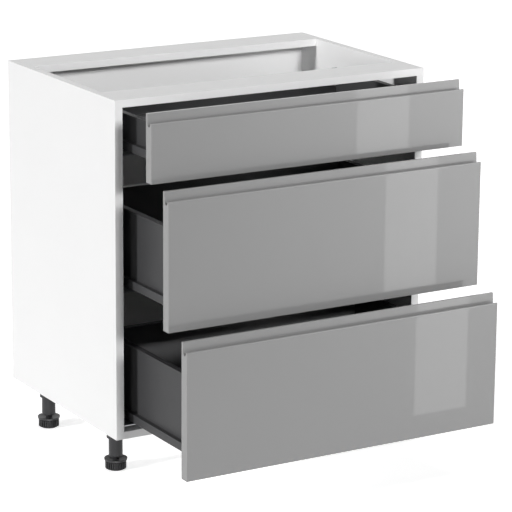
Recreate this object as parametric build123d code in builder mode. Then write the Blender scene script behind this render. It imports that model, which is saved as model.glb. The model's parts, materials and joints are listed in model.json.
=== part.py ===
from build123d import *
from collections import namedtuple
import os

os.makedirs("parts", exist_ok=True)

# Base cabinet on adjustable legs with three drawers, all sizes in millimetres.
# X runs to the right, Y to the back, Z up. The origin is on the floor, under the middle of the
# cabinet as it stands with its drawers partly open.

# ---------------------------------------------------------------- driving dimensions
# Carcass
cabinet_width = 750.0
carcass_depth = 500.0
carcass_height = 720.0
side_thickness = 18.0
board_thickness = 16.0          # bottom board and both top rails
rail_depth = 90.0
edge_break = 0.5                # small chamfer on the long edges of the boards
back_thickness = 8.0
back_inset = 20.0               # free space behind the back panel
groove_depth = 8.0
groove_clearance = 0.2          # all round the edge of the back panel

# Wooden dowels and cam fittings that join the boards
dowel_diameter = 8.0
dowel_length = 35.0
dowel_in_side = 12.0
dowel_edge_distance = 14.0
dowel_back_distance = 42.0      # rearmost dowels of the bottom board
dowel_chamfer = 1.0
dowel_clearance = 0.05
cam_diameter = 15.0
cam_height = 12.5
cam_distance = 24.0             # from the board's end to the axis of the cam
cam_slot_length = 10.5
cam_slot_width = 2.0
cam_slot_depth = 3.0
cam_mouth_diameter = 7.6
cam_mouth_depth = 8.5           # from the cam's rim inwards
cam_bolt_diameter = 6.0
cam_bolt_shank = 19.0           # thick part, from the side board's inner face
cam_bolt_neck_diameter = 4.0
cam_bolt_head_diameter = 7.2
cam_bolt_head_length = 2.0
cam_bolt_passage = 8.0
cam_thread_diameter = 5.0
cam_thread_length = 11.0
cam_front_distance = 60.0       # on the bottom board
cam_back_distance = 150.0

# Legs
leg_height = 100.0
leg_inset_side = 50.0           # cabinet's side face to the leg's axis
leg_inset_front = 100.0
leg_inset_back = 78.0
leg_diameter = 30.0
leg_bore = 14.6
leg_bore_depth = 48.0
leg_neck_chamfer = 2.0
leg_foot_gap = 4.0              # tube's lower end above the foot's flange
socket_plate = 64.0
socket_plate_thickness = 3.0
socket_corner_radius = 8.0
socket_diameter = 39.0
socket_length = 27.0
socket_clearance = 0.2
socket_rib_thickness = 3.0
socket_rib_height = 18.0
socket_rib_margin = 3.0         # ribs end this far inside the plate's edge
socket_screw_spacing = 48.0
foot_flange_diameter = 50.0
foot_flange_rim = 1.2
foot_dish_floor = 1.6           # flange's thickness at the spindle
foot_ring_diameter = 44.0
foot_ring_height = 20.0
foot_height = 24.0
foot_edge = 1.0                 # bevels of ring and flange
foot_rib_count = 24
foot_rib_size = 1.6
foot_rib_bottom = 2.0
foot_rib_top = 19.0
foot_collar = 3.0               # flat width round the spindle
foot_spindle_diameter = 14.0
foot_spindle_engaged = 34.0
foot_spindle_bevel = 1.5

# Drawers: two equal lower fronts share the height that the top front leaves
top_front_height = 140.0
front_gap = 3.0
front_top_offset = 2.0          # top front's upper edge below the carcass's upper edge
front_bottom_offset = 2.0       # lowest front's lower edge above the carcass's lower edge
top_opening = 130.0             # from the carcass's front to the back face of the open front
middle_opening = 200.0
bottom_opening = 275.0
top_side_drop = 38.0            # sides' upper edges below the upper edge of their front
lower_side_drop = 95.0
top_back_drop = 16.0            # back board's upper edge below the sides' rims
lower_back_drop = 1.0
front_side_reveal = 2.0
front_thickness = 22.0
front_edge_radius = 0.8
front_end_break = 0.4           # small chamfer round both ends
closed_gap = 2.0                # front to carcass when a drawer is shut

# Grip routed along the top of each front
lip_thickness = 5.0
lip_foot_thickness = 6.5
hook_drop = 18.0
groove_bottom = 26.5
groove_radius = 5.5
hook_radius = 2.0

# Double-walled metal drawer side, measured from its lower edge
top_side_length = 400.0         # ends in front of what hangs into the open top
lower_side_length = 450.0
side_above_front = 30.0         # lower edge above the lower edge of its front
side_sheet = 1.2
runner_space = 22.0             # carcass side to the runner housing
housing_height = 18.0
wall_step = 10.0                # upper wall stands back from the housing
wall_thickness = 12.0
rim_height = 4.0
rim_overhang = 0.8
rim_rounding = 1.0
ledge_width = 12.0
ledge_thickness = 1.5

# Boards of a drawer
drawer_board = 16.0
drawer_board_clearance = 0.25

# Brackets: plates on the front and the back board, tongues inside the hollow walls
bracket_plate = 2.0
bracket_clearance = 0.3
bracket_lift = 1.0              # front plate's lower edge above the side's
bracket_screw_inset = 6.5       # screws inside the plates' edges
front_tongue_length = 30.0
front_tongue_bottom = 22.0
front_tongue_top_margin = 22.0
back_tongue_length = 20.0
back_plate_reach = 14.0         # over the back board
back_plate_margin = 3.0         # inside the back board's upper and lower edges

# Screws through the ledges into the bottom board
ledge_screw_count = 3
ledge_screw_inset = 50.0        # outer screws inside the side's ends

# Telescopic runner
runner_sheet = 1.5
runner_drop = 5.0               # cabinet rail's web below the drawer side
runner_flange_height = 19.0
runner_play = 0.3               # between sliding faces, up and down
runner_side_play = 0.4
runner_lip = 4.9
runner_head_width = 14.8
runner_setback = 3.0            # behind the carcass's front edge
slide_shortening = 10.0         # against the rail
slide_setback = 8.0             # behind the carcass's front edge when shut

# Screws, with the diameters of head and shank
Screw = namedtuple("Screw", ["head", "head_height", "shank", "length"])
runner_screw = Screw(head=8.0, head_height=1.8, shank=5.0, length=12.0)
leg_screw = Screw(head=7.0, head_height=2.0, shank=4.0, length=13.0)
drawer_screw = Screw(head=6.4, head_height=2.0, shank=3.6, length=13.0)
screw_clearance = 0.05
screw_tip = 0.6                 # free depth beyond a screw's tip
runner_screw_start = 37.0       # from the rail's front end
runner_screw_pitch = 160.0
runner_screw_height = 11.4      # above the rail's web

# ---------------------------------------------------------------- places that follow
inner_half_width = cabinet_width / 2 - side_thickness
carcass_bottom = leg_height
carcass_top = leg_height + carcass_height
carcass_front = (max(top_opening, middle_opening, bottom_opening) + front_thickness - carcass_depth) / 2
carcass_back = carcass_front + carcass_depth
back_rear = carcass_back - back_inset
back_front = back_rear - back_thickness
rail_bottom = carcass_top - board_thickness

fronts_height = carcass_height - front_top_offset - front_bottom_offset - 2 * front_gap
lower_front_height = (fronts_height - top_front_height) / 2
bottom_front_low = carcass_bottom + front_bottom_offset
middle_front_low = bottom_front_low + lower_front_height + front_gap
top_front_low = middle_front_low + lower_front_height + front_gap

Drawer = namedtuple("Drawer", ["front_low", "front_height", "opening", "length", "side_drop", "back_drop"])
drawers = [
    Drawer(top_front_low, top_front_height, top_opening, top_side_length, top_side_drop, top_back_drop),
    Drawer(middle_front_low, lower_front_height, middle_opening, lower_side_length, lower_side_drop,
           lower_back_drop),
    Drawer(bottom_front_low, lower_front_height, bottom_opening, lower_side_length, lower_side_drop,
           lower_back_drop),
]

wall_outer = runner_space + wall_step
wall_inner = wall_outer + wall_thickness
slide_top = housing_height - side_sheet - runner_play
slide_outer = runner_space + side_sheet + runner_side_play
slide_inner = wall_inner - side_sheet - runner_side_play
head_top = slide_top - runner_sheet - runner_play
head_middle = (slide_outer + slide_inner) / 2
head_outer = head_middle - runner_head_width / 2
head_inner = head_middle + runner_head_width / 2

rail_dowels = [dowel_edge_distance, rail_depth - dowel_edge_distance]
bottom_dowels = [dowel_edge_distance, carcass_depth / 2, carcass_depth - dowel_back_distance]
bottom_cams = [cam_front_distance, carcass_depth - cam_back_distance]


def join_places():
    """Every dowel and cam as (y, z of the board's middle), for one end of the boards."""
    low = carcass_bottom + board_thickness / 2
    high = carcass_top - board_thickness / 2
    back_rail = carcass_back - rail_depth
    dowels = [(carcass_front + y, low) for y in bottom_dowels]
    dowels += [(start + y, high) for start in (carcass_front, back_rail) for y in rail_dowels]
    cams = [(carcass_front + y, low) for y in bottom_cams]
    cams += [(start + rail_depth / 2, high) for start in (carcass_front, back_rail)]
    return dowels, cams


dowel_places, cam_places = join_places()


def save(builder, name):
    """Label a finished piece and write it under the same name."""
    builder.part.label = name
    export_step(builder.part, f"parts/{name}.step")


def mirrored(side, u):
    """X of a point that lies u inside the inner face of the left (-1) or right (+1) board."""
    return side * (inner_half_width - u)


def across(y):
    """Upright plane across the cabinet at y, its normal towards the front."""
    return Plane.XZ.offset(-y)


def upright(x):
    """Upright plane along the cabinet at x, its normal to the right."""
    return Plane.YZ.offset(x)


def driven_screws(name, screw, seats):
    """A set of screws; each seat is a plane that faces the way they are driven, and its places."""
    with BuildPart() as screws:
        for plane, spots in seats:
            with BuildSketch(plane):
                with Locations(*spots):
                    Circle(screw.head / 2)
            extrude(amount=-screw.head_height)
            with BuildSketch(plane):
                with Locations(*spots):
                    Circle(screw.shank / 2)
            extrude(amount=screw.length)
    save(screws, name)


def runner_screw_rows(length):
    """Y of the screws along a rail, as many as its length holds."""
    count = int((length - 2 * runner_screw_start) // runner_screw_pitch) + 1
    start = carcass_front + runner_setback + runner_screw_start
    return [start + i * runner_screw_pitch for i in range(count)]


def runner_screw_spots():
    """Every runner screw as (y, z)."""
    above_front = side_above_front - runner_drop + runner_screw_height
    return [(y, drawer.front_low + above_front) for drawer in drawers
            for y in runner_screw_rows(drawer.length)]


def leg_spots():
    """Each leg's name and the place of its axis."""
    x = cabinet_width / 2 - leg_inset_side
    front = carcass_front + leg_inset_front
    back = carcass_back - leg_inset_back
    return {"fl": (-x, front), "fr": (x, front), "rl": (-x, back), "rr": (x, back)}


# ---------------------------------------------------------------- carcass
def side_board(side, name):
    """One upright side board with its groove and the holes in its inner face."""
    middle = side * (cabinet_width - side_thickness) / 2
    inner = Plane(origin=(side * inner_half_width, 0, 0), x_dir=(0, side, 0), z_dir=(side, 0, 0))
    with BuildPart() as board:
        with Locations((middle, carcass_front + carcass_depth / 2, carcass_bottom + carcass_height / 2)):
            Box(side_thickness, carcass_depth, carcass_height)
        outer_edges = board.faces().sort_by(Axis.X)[0 if side < 0 else -1].edges()
        chamfer(outer_edges.filter_by(Axis.Z), edge_break)
        with BuildSketch(inner):
            with Locations((side * (back_front + back_thickness / 2),
                            carcass_bottom + carcass_height / 2)):
                Rectangle(back_thickness + 2 * groove_clearance,
                          carcass_height - 2 * (board_thickness - groove_depth))
        extrude(amount=groove_depth, mode=Mode.SUBTRACT)
        with BuildSketch(inner):
            with Locations(*[(side * y, z) for y, z in dowel_places]):
                Circle(dowel_diameter / 2 + dowel_clearance)
        extrude(amount=dowel_in_side + screw_tip, mode=Mode.SUBTRACT)
        with BuildSketch(inner):
            with Locations(*[(side * y, z) for y, z in cam_places]):
                Circle(cam_thread_diameter / 2 + screw_clearance)
        extrude(amount=cam_thread_length + screw_tip, mode=Mode.SUBTRACT)
        with BuildSketch(inner):
            with Locations(*[(side * y, z) for y, z in runner_screw_spots()]):
                Circle(runner_screw.shank / 2 + screw_clearance)
        extrude(amount=runner_screw.length - runner_sheet + screw_tip, mode=Mode.SUBTRACT)
    save(board, name)


def flat_board(name, front, depth, middle_z, dowels, cams, groove=0, screw_holes=()):
    """A board between the sides, with dowel holes and cam pockets.

    groove is 1 or -1 where the back panel's groove is in its upper or lower face, else 0.
    """
    middle_y = front + depth / 2
    underside = middle_z - board_thickness / 2
    half = inner_half_width
    with BuildPart() as board:
        with Locations((0, middle_y, middle_z)):
            Box(2 * half, depth, board_thickness)
        for side in (-1, 1):
            end = Plane(origin=(side * half, 0, 0), x_dir=(0, side, 0), z_dir=(side, 0, 0))
            with BuildSketch(end):
                with Locations(*[(side * y, middle_z) for y in dowels]):
                    Circle(dowel_diameter / 2 + dowel_clearance)
            extrude(amount=-(dowel_length - dowel_in_side + screw_tip), mode=Mode.SUBTRACT)
            with BuildSketch(end):
                with Locations(*[(side * y, middle_z) for y in cams]):
                    Circle(cam_bolt_passage / 2)
            extrude(amount=-cam_distance, mode=Mode.SUBTRACT)
        with BuildSketch(Plane.XY.offset(underside)):
            with Locations(*[(side * (half - cam_distance), y) for side in (-1, 1) for y in cams]):
                Circle(cam_diameter / 2 + screw_clearance)
        extrude(amount=cam_height + screw_clearance, mode=Mode.SUBTRACT)
        if groove:
            with BuildSketch(Plane.XY.offset(middle_z + groove * board_thickness / 2)):
                with Locations((0, back_front + back_thickness / 2)):
                    Rectangle(2 * half, back_thickness + 2 * groove_clearance)
            extrude(amount=-groove * groove_depth, mode=Mode.SUBTRACT)
        if screw_holes:
            with BuildSketch(Plane.XY.offset(underside)):
                with Locations(*screw_holes):
                    Circle(leg_screw.shank / 2 + screw_clearance)
            hole_depth = leg_screw.length - socket_plate_thickness + screw_tip
            extrude(amount=hole_depth, mode=Mode.SUBTRACT)
    save(board, name)


def back_panel():
    """Thin back, held on all four edges in grooves."""
    width = 2 * (inner_half_width + groove_depth - groove_clearance)
    low = carcass_bottom + board_thickness - groove_depth
    high = rail_bottom + groove_depth - groove_clearance
    with BuildPart() as panel:
        with Locations((0, back_front + back_thickness / 2, (low + high) / 2)):
            Box(width, back_thickness, high - low)
    save(panel, "back_panel")


def dowels():
    """All wooden dowels, each with rounded ends."""
    with BuildPart() as pegs:
        for side in (-1, 1):
            start = side * (inner_half_width + dowel_in_side)
            plane = Plane(origin=(start, 0, 0), x_dir=(0, -side, 0), z_dir=(-side, 0, 0))
            with BuildSketch(plane):
                with Locations(*[(-side * y, z) for y, z in dowel_places]):
                    Circle(dowel_diameter / 2)
            extrude(amount=dowel_length)
        chamfer(pegs.edges().filter_by(GeomType.CIRCLE), dowel_chamfer)
    save(pegs, "dowels")


def cam_housings():
    """Cams let into the undersides, with the bolt's way in and a driver slot."""
    with BuildPart() as cams:
        spots = [(side * (inner_half_width - cam_distance), y, z - board_thickness / 2)
                 for side in (-1, 1) for y, z in cam_places]
        with Locations(*spots):
            Cylinder(cam_diameter / 2, cam_height, align=(Align.CENTER, Align.CENTER, Align.MIN))
            Box(cam_slot_length, cam_slot_width, cam_slot_depth,
                align=(Align.CENTER, Align.CENTER, Align.MIN), mode=Mode.SUBTRACT)
        for side in (-1, 1):
            way_in = Plane(origin=(side * inner_half_width, 0, 0), x_dir=(0, side, 0),
                           z_dir=(side, 0, 0))
            with BuildSketch(way_in):
                with Locations(*[(side * y, z) for y, z in cam_places]):
                    Circle(cam_mouth_diameter / 2)
            extrude(amount=-(cam_distance - cam_diameter / 2 + cam_mouth_depth), mode=Mode.SUBTRACT)
    save(cams, "cam_housings")


def cam_bolts():
    """Bolts that stand in the side boards and reach into the cams."""
    half_width = inner_half_width
    with BuildPart() as bolts:
        for side in (-1, 1):
            inner = Plane(origin=(side * half_width, 0, 0), x_dir=(0, side, 0), z_dir=(side, 0, 0))
            head = Plane(origin=(side * (half_width - cam_distance), 0, 0), x_dir=(0, side, 0),
                         z_dir=(side, 0, 0))
            places = [(side * y, z) for y, z in cam_places]
            with BuildSketch(inner):
                with Locations(*places):
                    Circle(cam_thread_diameter / 2)
            extrude(amount=cam_thread_length)
            with BuildSketch(inner):
                with Locations(*places):
                    Circle(cam_bolt_diameter / 2)
            extrude(amount=-cam_bolt_shank)
            with BuildSketch(head):
                with Locations(*places):
                    Circle(cam_bolt_neck_diameter / 2)
            extrude(amount=cam_distance - cam_bolt_shank)
            with BuildSketch(head):
                with Locations(*places):
                    Circle(cam_bolt_head_diameter / 2)
            extrude(amount=cam_bolt_head_length)
    save(bolts, "cam_bolts")


# ---------------------------------------------------------------- legs
def socket_screw_grid(x, y):
    """The four screw places of one socket."""
    half = socket_screw_spacing / 2
    return [(x + i * half, y + j * half) for i in (-1, 1) for j in (-1, 1)]


def leg_socket(name, x, y):
    """Flanged socket under the bottom board, with ribs between plate and tube."""
    top = Plane(origin=(x, y, carcass_bottom), x_dir=(1, 0, 0), z_dir=(0, 0, -1))
    with BuildPart() as socket:
        with BuildSketch(top):
            RectangleRounded(socket_plate, socket_plate, socket_corner_radius)
        extrude(amount=socket_plate_thickness)
        with BuildSketch(top.offset(socket_plate_thickness)):
            Circle(socket_diameter / 2)
        extrude(amount=socket_length)
        reach = socket_plate / 2 - socket_rib_margin
        rib_origin = (x, y, carcass_bottom - socket_plate_thickness)
        for along, normal in (((1, 0, 0), (0, -1, 0)), ((0, 1, 0), (1, 0, 0))):
            with BuildSketch(Plane(origin=rib_origin, x_dir=along, z_dir=normal)):
                with BuildLine():
                    Polyline((-reach, 0), (reach, 0), (socket_diameter / 2, -socket_rib_height),
                             (-socket_diameter / 2, -socket_rib_height), close=True)
                make_face()
            extrude(amount=socket_rib_thickness / 2, both=True)
        with BuildSketch(top.offset(socket_plate_thickness)):
            Circle(leg_diameter / 2 + socket_clearance)
        extrude(amount=socket_length, mode=Mode.SUBTRACT)
        screw_points = [Vector(px, py, carcass_bottom) for px, py in socket_screw_grid(x, y)]
        with Locations(*screw_points):
            Cylinder(leg_screw.shank / 2 + screw_clearance, 4 * socket_plate_thickness, mode=Mode.SUBTRACT)
    save(socket, name)


def leg_tube(name, x, y):
    """Round tube, plugged into the socket, with a threaded bore from below."""
    top = carcass_bottom - socket_plate_thickness
    low = foot_height + leg_foot_gap
    with BuildPart() as tube:
        with BuildSketch(Plane.XY.offset(low)):
            with Locations((x, y)):
                Circle(leg_diameter / 2)
        extrude(amount=top - low)
        chamfer(tube.faces().sort_by(Axis.Z)[0].edges(), leg_neck_chamfer)
        with BuildSketch(Plane.XY.offset(low)):
            with Locations((x, y)):
                Circle(leg_bore / 2)
        extrude(amount=leg_bore_depth, mode=Mode.SUBTRACT)
    save(tube, name)


def leg_foot(name, x, y):
    """Screw foot: dished flange, ribbed grip ring and spindle, turned in one piece."""
    flange = foot_flange_diameter / 2
    ring = foot_ring_diameter / 2
    spindle = foot_spindle_diameter / 2
    dish = foot_ring_height + foot_dish_floor
    top = foot_height + leg_foot_gap + foot_spindle_engaged
    with BuildPart() as foot:
        with BuildSketch(Plane(origin=(x, y, 0), x_dir=(1, 0, 0), z_dir=(0, -1, 0))):
            with BuildLine():
                Polyline((0, 0), (ring - foot_edge, 0), (ring, foot_edge), (ring, foot_ring_height),
                         (flange - foot_edge, foot_ring_height + foot_edge), (flange, foot_height),
                         (flange - foot_flange_rim, foot_height), (spindle + foot_collar, dish),
                         (spindle, dish), (spindle, top - foot_spindle_bevel),
                         (spindle - foot_spindle_bevel, top), (0, top), close=True)
            make_face()
        revolve(axis=Axis((x, y, 0), (0, 0, 1)))
        with BuildSketch(Plane.XY.offset(foot_rib_bottom)):
            with Locations((x, y)):
                with PolarLocations(ring, foot_rib_count):
                    Rectangle(foot_rib_size, foot_rib_size, rotation=45)
        extrude(amount=foot_rib_top - foot_rib_bottom)
    save(foot, name)


# ---------------------------------------------------------------- telescopic runners
def runner_rail(name, side, low, length):
    """Cabinet rail: screwed flange, web under the drawer side and a T-shaped head."""
    t = runner_sheet
    web = low - runner_drop
    neck = head_middle
    outline = [
        (0, web), (0, web + runner_flange_height), (t, web + runner_flange_height), (t, web + t),
        (neck - t / 2, web + t), (neck - t / 2, low + head_top - t),
        (head_outer, low + head_top - t), (head_outer, low + head_top),
        (head_inner, low + head_top), (head_inner, low + head_top - t),
        (neck + t / 2, low + head_top - t), (neck + t / 2, web),
    ]
    rear = carcass_front + runner_setback + length
    screw_z = web + runner_screw_height
    with BuildPart() as rail:
        with BuildSketch(across(rear)):
            with BuildLine():
                Polyline(*[(mirrored(side, u), z) for u, z in outline], close=True)
            make_face()
        extrude(amount=length)
        with BuildSketch(across(rear + t)):
            with BuildLine():
                Polyline((mirrored(side, 0), web), (mirrored(side, slide_inner), web),
                         (mirrored(side, slide_inner), low + slide_top),
                         (mirrored(side, slide_outer), low + slide_top),
                         (mirrored(side, slide_outer), web + t), (mirrored(side, 0), web + t),
                         close=True)
            make_face()
        extrude(amount=t)
        with BuildSketch(upright(mirrored(side, 0))):
            with Locations(*[(y, screw_z) for y in runner_screw_rows(length)]):
                Circle(runner_screw.shank / 2 + screw_clearance)
        extrude(amount=-side * t, mode=Mode.SUBTRACT)
    save(rail, name)


def runner_slide(name, side, low, length, travel):
    """Channel that wraps the rail's head and carries the drawer side."""
    t = runner_sheet
    top = low + slide_top
    lip_top = low + head_top - t - 2 * runner_play
    outline = [
        (slide_outer, lip_top - t), (slide_outer, top), (slide_inner, top),
        (slide_inner, lip_top - t), (slide_inner - t - runner_lip, lip_top - t),
        (slide_inner - t - runner_lip, lip_top), (slide_inner - t, lip_top),
        (slide_inner - t, top - t), (slide_outer + t, top - t), (slide_outer + t, lip_top),
        (slide_outer + t + runner_lip, lip_top), (slide_outer + t + runner_lip, lip_top - t),
    ]
    rear = carcass_front + slide_setback + length - travel / 2
    with BuildPart() as slide:
        with BuildSketch(across(rear)):
            with BuildLine():
                Polyline(*[(mirrored(side, u), z) for u, z in outline], close=True)
            make_face()
        extrude(amount=length)
    save(slide, name)


def runner_screw_seats():
    """Faces of the rails' flanges with the screw places in them."""
    seats = []
    for side in (-1, 1):
        start = side * (inner_half_width - runner_sheet)
        face = Plane(origin=(start, 0, 0), x_dir=(0, side, 0), z_dir=(side, 0, 0))
        seats.append((face, [(side * y, z) for y, z in runner_screw_spots()]))
    return seats


# ---------------------------------------------------------------- drawers
def drawer_front(name, inner_face, low, height, screw_spots):
    """Front with the grip routed along its top: thin lip behind, groove, hook in front."""
    top = low + height
    groove_start = inner_face - lip_foot_thickness
    groove_end = groove_start - 2 * groove_radius
    arc_level = top - groove_bottom + groove_radius
    outer_face = inner_face - front_thickness
    with BuildPart() as front:
        with BuildSketch(upright(0)):
            with BuildLine():
                Polyline((inner_face, low), (inner_face, top), (inner_face - lip_thickness, top),
                         (groove_start, arc_level))
                ThreePointArc((groove_start, arc_level),
                              (groove_start - groove_radius, top - groove_bottom),
                              (groove_end, arc_level))
                Polyline((groove_end, arc_level), (groove_end, top - hook_drop),
                         (outer_face, top - hook_drop), (outer_face, low), (inner_face, low))
            face = make_face()
            lip_corners = face.vertices().group_by(Axis.Y)[-1]
            hook_corners = face.vertices().group_by(Axis.Y)[-2]
            low_corners = face.vertices().group_by(Axis.Y)[0]
            fillet(lip_corners, front_edge_radius)
            fillet(hook_corners, hook_radius)
            fillet(low_corners, front_edge_radius)
        extrude(amount=cabinet_width / 2 - front_side_reveal, both=True)
        for end in (front.faces().sort_by(Axis.X)[0], front.faces().sort_by(Axis.X)[-1]):
            chamfer(end.edges(), front_end_break)
        with BuildSketch(across(inner_face)):
            with Locations(*screw_spots):
                Circle(drawer_screw.shank / 2 + screw_clearance)
        extrude(amount=drawer_screw.length - bracket_plate + screw_tip, mode=Mode.SUBTRACT)
    save(front, name)


def drawer_side(name, side, start, rear, low, height):
    """Double-walled metal side: runner housing, hollow wall with a rim, ledge for the bottom."""
    t = side_sheet
    top = low + height
    rim = top - rim_height
    housing = low + housing_height
    ledge = wall_inner + ledge_width
    outline = [
        (runner_space, low), (runner_space, housing), (wall_outer, housing), (wall_outer, rim),
        (wall_outer - rim_overhang, rim), (wall_outer - rim_overhang, top),
        (wall_inner + rim_overhang, top), (wall_inner + rim_overhang, rim), (wall_inner, rim),
        (wall_inner, low + ledge_thickness), (ledge, low + ledge_thickness), (ledge, low),
        (wall_inner - t, low), (wall_inner - t, housing - t), (runner_space + t, housing - t),
        (runner_space + t, low),
    ]
    with BuildPart() as wall:
        with BuildSketch(across(rear)):
            with BuildLine():
                Polyline(*[(mirrored(side, u), z) for u, z in outline], close=True)
            make_face()
            hollow_height = height - housing_height - t
            with Locations((mirrored(side, (wall_outer + wall_inner) / 2),
                            housing + hollow_height / 2)):
                Rectangle(wall_thickness - 2 * t, hollow_height, mode=Mode.SUBTRACT)
        extrude(amount=rear - start)
        fillet(wall.edges().filter_by(Axis.Y).group_by(Axis.Z)[-1], rim_rounding)
        with BuildSketch(Plane.XY.offset(low)):
            with Locations(*ledge_screw_spots(side, start, rear)):
                Circle(drawer_screw.shank / 2 + screw_clearance)
        extrude(amount=ledge_thickness, mode=Mode.SUBTRACT)
    save(wall, name)


def ledge_screw_spots(side, start, rear):
    """Screw places along the ledge of a drawer side from start to rear, as (x, y)."""
    step = (rear - start - 2 * ledge_screw_inset) / (ledge_screw_count - 1)
    x = mirrored(side, wall_inner + ledge_width / 2)
    return [(x, start + ledge_screw_inset + i * step) for i in range(ledge_screw_count)]


def drawer_bottom(name, inner_face, rear, low, screw_spots):
    """Bottom board, lying on the ledges of both sides."""
    half = inner_half_width - wall_inner - drawer_board_clearance
    front = inner_face + drawer_board_clearance
    underside = low + ledge_thickness
    with BuildPart() as board:
        with Locations((0, (front + rear) / 2, underside + drawer_board / 2)):
            Box(2 * half, rear - front, drawer_board)
        with BuildSketch(Plane.XY.offset(underside)):
            with Locations(*screw_spots):
                Circle(drawer_screw.shank / 2 + screw_clearance)
        extrude(amount=drawer_screw.length - ledge_thickness + screw_tip, mode=Mode.SUBTRACT)
    save(board, name)


def drawer_back(name, rear, low, top, screw_spots):
    """Back board, standing on the rear end of the bottom board."""
    half = inner_half_width - wall_inner - drawer_board_clearance
    foot = low + ledge_thickness + drawer_board
    with BuildPart() as board:
        with Locations((0, rear - drawer_board / 2, (foot + top) / 2)):
            Box(2 * half, drawer_board, top - foot)
        chamfer(board.faces().sort_by(Axis.Z)[-1].edges().filter_by(Axis.X), edge_break)
        with BuildSketch(across(rear)):
            with Locations(*screw_spots):
                Circle(drawer_screw.shank / 2 + screw_clearance)
        extrude(amount=drawer_screw.length - bracket_plate + screw_tip, mode=Mode.SUBTRACT)
    save(board, name)


def front_screw_spots(low, height):
    """Screw places of both front brackets of a drawer as (x, z)."""
    level = low + housing_height / 2
    high = low + height - front_tongue_top_margin / 2
    marks = [(runner_space + bracket_screw_inset, level), (wall_inner - bracket_screw_inset, level),
             ((wall_outer + wall_inner) / 2, high)]
    return [(mirrored(side, u), z) for side in (-1, 1) for u, z in marks]


def back_plate_levels(low, top):
    """Lower and upper edge of the rear brackets' plates on a back board that ends at top."""
    foot = low + ledge_thickness + drawer_board
    return foot + back_plate_margin, top - back_plate_margin


def back_screw_spots(low, top):
    """Screw places of both rear brackets of a drawer as (x, z)."""
    plate_low, plate_high = back_plate_levels(low, top)
    u = wall_inner + back_plate_reach / 2
    return [(mirrored(side, u), z) for side in (-1, 1)
            for z in (plate_low + bracket_screw_inset, plate_high - bracket_screw_inset)]


def front_brackets(inner_face, low, height, screw_spots):
    """Pair of brackets between the front and the sides: plates with tongues."""
    margin = side_sheet + bracket_clearance
    plate_rear = inner_face + bracket_plate
    tongue_height = height - front_tongue_top_margin - front_tongue_bottom
    with BuildPart() as brackets:
        for side in (-1, 1):
            with BuildSketch(across(plate_rear)):
                with BuildLine():
                    points = [(runner_space + margin, low + bracket_lift),
                              (wall_inner - margin, low + bracket_lift),
                              (wall_inner - margin, low + height - margin),
                              (wall_outer + margin, low + height - margin),
                              (wall_outer + margin, low + housing_height),
                              (runner_space + margin, low + housing_height)]
                    Polyline(*[(mirrored(side, u), z) for u, z in points], close=True)
                make_face()
            extrude(amount=bracket_plate)
            with BuildSketch(across(plate_rear)):
                with Locations((mirrored(side, (wall_outer + wall_inner) / 2),
                                low + front_tongue_bottom + tongue_height / 2)):
                    Rectangle(wall_thickness - 2 * margin, tongue_height)
            extrude(amount=-front_tongue_length)
        with BuildSketch(across(plate_rear)):
            with Locations(*screw_spots):
                Circle(drawer_screw.shank / 2 + screw_clearance)
        extrude(amount=bracket_plate, mode=Mode.SUBTRACT)
    return brackets.part


def back_brackets(rear, low, top, screw_spots):
    """Pair of brackets on the rear of the back board, with tongues into the sides."""
    margin = side_sheet + bracket_clearance
    plate_low, plate_high = back_plate_levels(low, top)
    middle_z = (plate_low + plate_high) / 2
    outer_u = wall_outer + margin
    plate_width = wall_inner + back_plate_reach - outer_u
    with BuildPart() as brackets:
        for side in (-1, 1):
            with BuildSketch(across(rear)):
                with Locations((mirrored(side, outer_u + plate_width / 2), middle_z)):
                    Rectangle(plate_width, plate_high - plate_low)
            extrude(amount=-bracket_plate)
            with BuildSketch(across(rear)):
                with Locations((mirrored(side, (wall_outer + wall_inner) / 2), middle_z)):
                    Rectangle(wall_thickness - 2 * margin, plate_high - plate_low)
            extrude(amount=back_tongue_length)
        with BuildSketch(across(rear)):
            with Locations(*screw_spots):
                Circle(drawer_screw.shank / 2 + screw_clearance)
        extrude(amount=-bracket_plate, mode=Mode.SUBTRACT)
    return brackets.part


def drawer_brackets(name, front_pair, back_pair):
    """All brackets of one drawer under one name."""
    with BuildPart() as brackets:
        add(front_pair)
        add(back_pair)
    save(brackets, name)


# ---------------------------------------------------------------- the whole cabinet
side_board(-1, "side_left")
side_board(1, "side_right")
socket_screws = [spot for x, y in leg_spots().values() for spot in socket_screw_grid(x, y)]
flat_board("bottom_board", carcass_front, carcass_depth, carcass_bottom + board_thickness / 2,
           [carcass_front + y for y in bottom_dowels], [carcass_front + y for y in bottom_cams],
           groove=1, screw_holes=socket_screws)
back_rail_front = carcass_back - rail_depth
for rail_name, rail_front, groove in (("front_rail", carcass_front, 0), ("back_rail", back_rail_front, -1)):
    flat_board(rail_name, rail_front, rail_depth, carcass_top - board_thickness / 2,
               [rail_front + y for y in rail_dowels], [rail_front + rail_depth / 2], groove)
back_panel()
dowels()
cam_housings()
cam_bolts()

for corner, (leg_x, leg_y) in leg_spots().items():
    leg_socket(f"leg_socket_{corner}", leg_x, leg_y)
    leg_tube(f"leg_tube_{corner}", leg_x, leg_y)
    leg_foot(f"leg_foot_{corner}", leg_x, leg_y)
driven_screws("leg_screws", leg_screw,
              [(Plane.XY.offset(carcass_bottom - socket_plate_thickness), socket_screws)])

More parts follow.
